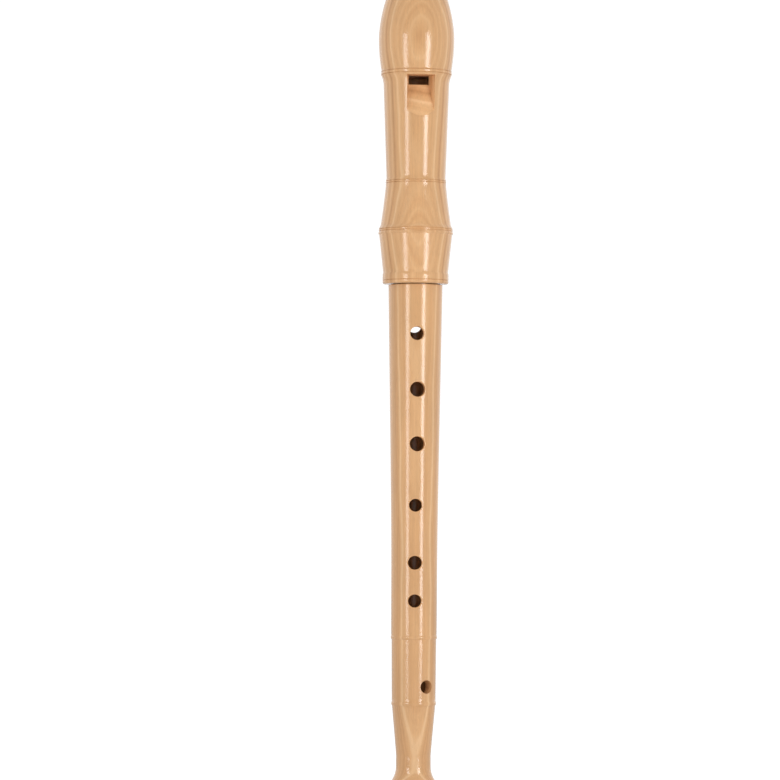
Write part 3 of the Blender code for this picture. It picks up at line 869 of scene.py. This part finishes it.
def windway_outline():
    """The windway under its sloping roof, with a chamfer at its exit above the window."""
    exit_roof = WINDWAY_FLOOR + WINDWAY_EXIT_HEIGHT
    past_exit = 0.5 * WINDOW_HEIGHT
    return [(WINDWAY_CUT_BACK, WINDOW_TOP - past_exit),
            (exit_roof + WINDWAY_CHAMFER + past_exit, WINDOW_TOP - past_exit),
            (exit_roof, WINDOW_TOP + WINDWAY_CHAMFER),
            (WINDWAY_FLOOR + WINDWAY_ENTRY_HEIGHT, TIP + OVERRUN), (WINDWAY_CUT_BACK, TIP + OVERRUN)]


def make_head(tree):
    """The head with its socket, bore, window, windway and hollowed beak."""
    varnish = varnished_wood("varnished_head", HEAD_GRAIN)
    bare = bare_wood("bare_head", HEAD_GRAIN)
    outline = beak_and_bulb() + neck() + flare_and_ferrule() + head_inside()
    head = turned("turned_head", outline, tree, varnish)
    cut(head, [
        prism("window_cut", window_outline(), WINDOW_HALF_WIDTH, 0.0, bare),
        prism("ramp_cut", ramp_outline(), WINDOW_HALF_WIDTH, CHEEK_FLARE, bare),
        prism("windway_cut", windway_outline(), WINDOW_HALF_WIDTH, 0.0, bare),
        beak_drum(varnish),
    ])
    finish_edges(head)
    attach(head, "head")
    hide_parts("head_joint")


def make_block():
    """The plug in the head bore, with a raised rail whose flat top is the windway's floor."""
    cedar = block_cedar()
    rail = [(0.0, WINDOW_TOP), (LABIUM_BACK, WINDOW_TOP), (LABIUM_BACK, TIP), (0.0, TIP)]
    planed_off = [(WINDWAY_FLOOR, TIP + OVERRUN), (FRONT_CLEAR, TIP + OVERRUN),
                  (FRONT_CLEAR, WINDOW_TOP - OVERRUN),
                  (WINDWAY_FLOOR - WINDWAY_CHAMFER - OVERRUN, WINDOW_TOP - OVERRUN),
                  (WINDWAY_FLOOR, WINDOW_TOP + WINDWAY_CHAMFER)]
    bm = bmesh.new()
    bmesh.ops.create_cone(bm, cap_ends=True, segments=SIDES, radius1=BLOCK_RADIUS, radius2=BLOCK_RADIUS,
                          depth=TIP - WINDOW_TOP)
    bm.transform(Matrix.Translation((0.0, 0.0, 0.5 * (TIP + WINDOW_TOP))))
    block = new_solid("fipple_block", bm, cedar)
    cut(block, [prism("block_rail", rail, WINDOW_HALF_WIDTH - BLOCK_CLEARANCE, 0.0, cedar)], "UNION")
    cut(block, [prism("windway_floor_cut", planed_off, FRONT_CLEAR, 0.0, cedar), beak_drum(cedar)])
    finish_edges(block)
    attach(block, "fipple")
    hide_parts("block")


def make_body(tree):
    """The body with its tenon, bore and holes, and the foot in one with it."""
    varnish = varnished_wood("varnished_body", BODY_GRAIN)
    bare = bare_wood("bare_body", BODY_GRAIN)
    body = turned("turned_body", body_outside() + body_inside(), tree, varnish)
    outline = tube()
    cut(body, [hole_cutter(f"hole_{number}_cut", hole, outline, bare)
               for number, hole in enumerate(HOLES, start=1)])
    finish_edges(body)
    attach(body, "body")
    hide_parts("body_joint")


def make_cork(tree):
    """The cork sleeve in the tenon's groove."""
    sleeve = turned("cork_sleeve", cork_outline(), tree, greased_cork())
    finish_edges(sleeve)
    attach(sleeve, "cork")
    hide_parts("tenon_cork")


# Floor, light and camera

def make_floor():
    """A white floor that shows as white to the camera and keeps the shadow."""
    material, tree, shader = new_finish("white_floor")
    camera_ray = new_node(tree, "ShaderNodeLightPath").outputs["Is Camera Ray"]
    fill(tree, shader, {
        "Base Color": FLOOR_COLOUR,
        "Roughness": FLOOR_ROUGHNESS,
        "Specular IOR Level": 0.0,
        "Emission Color": WHITE,
        "Emission Strength": maths(tree, "MULTIPLY", camera_ray, FLOOR_GLOW),
    })
    mesh = bpy.data.meshes.new("floor")
    corners = [(FLOOR_HALF * right, FLOOR_HALF * back, FLOOR_HEIGHT)
               for right, back in ((-1.0, -1.0), (1.0, -1.0), (1.0, 1.0), (-1.0, 1.0))]
    mesh.from_pydata(corners, [], [(0, 1, 2, 3)])
    mesh.materials.append(material)
    floor = new_object("floor", mesh)


def make_surround():
    """White to the camera. As a light it is dimmer, most of all on the camera's side."""
    world = bpy.data.worlds.new("white_surround")
    world.use_nodes = True
    tree = world.node_tree
    rays = new_node(tree, "ShaderNodeLightPath")
    seen = maths(tree, "MAXIMUM", rays.outputs["Is Camera Ray"], rays.outputs["Is Transmission Ray"])
    direction = new_node(tree, "ShaderNodeSeparateXYZ",
                         {"Vector": new_node(tree, "ShaderNodeTexCoord").outputs["Generated"]})
    behind = maths(tree, "MULTIPLY", direction.outputs["Y"], SURROUND_SLOPE)
    strength = maths(tree, "MAXIMUM", seen, maths(tree, "ADD", behind, SURROUND_LIGHT))
    fill(tree, tree.nodes["Background"], {"Color": WHITE, "Strength": strength})
    bpy.context.scene.world = world


def make_softbox(name, degrees, brightness):
    """A tall soft light that stands on the floor beside the camera and faces the flute."""
    light = bpy.data.lights.new(name, "AREA")
    light.shape = "RECTANGLE"
    light.size = SOFTBOX_WIDTH
    light.size_y = SOFTBOX_HEIGHT
    light.energy = math.pi * brightness * SOFTBOX_WIDTH * SOFTBOX_HEIGHT
    lamp = new_object(name, light)
    angle = CAMERA_AZIMUTH + math.radians(degrees)
    middle = Vector((0.0, 0.0, SOFTBOX_STAND + 0.5 * SOFTBOX_HEIGHT))
    lamp.location = middle + SOFTBOX_DISTANCE * Vector((math.sin(angle), -math.cos(angle), 0.0))
    lamp.rotation_euler = (middle - lamp.location).to_track_quat("-Z", "Y").to_euler()


def make_camera():
    """The camera stands where the photograph was taken from and frames the same stretch."""
    data = bpy.data.cameras.new("camera")
    data.sensor_width = SENSOR_WIDTH
    data.lens = SENSOR_WIDTH * CAMERA_DISTANCE / (PHOTO_PIXELS * PIXEL)
    camera = new_object("camera", data)
    camera.location = (CAMERA_DISTANCE * math.sin(CAMERA_AZIMUTH),
                       -CAMERA_DISTANCE * math.cos(CAMERA_AZIMUTH), CAMERA_HEIGHT)
    aside = (AXIS_COLUMN - 0.5 * PHOTO_PIXELS) * PIXEL
    aim = Vector((-aside * math.cos(CAMERA_AZIMUTH), -aside * math.sin(CAMERA_AZIMUTH), VIEW_HEIGHT))
    facing = (aim - camera.location).to_track_quat("-Z", "Y").to_matrix()
    camera.rotation_euler = (facing @ Matrix.Rotation(CAMERA_ROLL, 3, "Z")).to_euler()
    bpy.context.scene.camera = camera


turning = turning_tree()
make_body(turning)
make_cork(turning)
make_head(turning)
make_block()
make_floor()
make_surround()
for name, degrees, brightness in SOFTBOXES:
    make_softbox(name, degrees, brightness)
make_camera()
bpy.context.scene.view_settings.view_transform = "Standard"
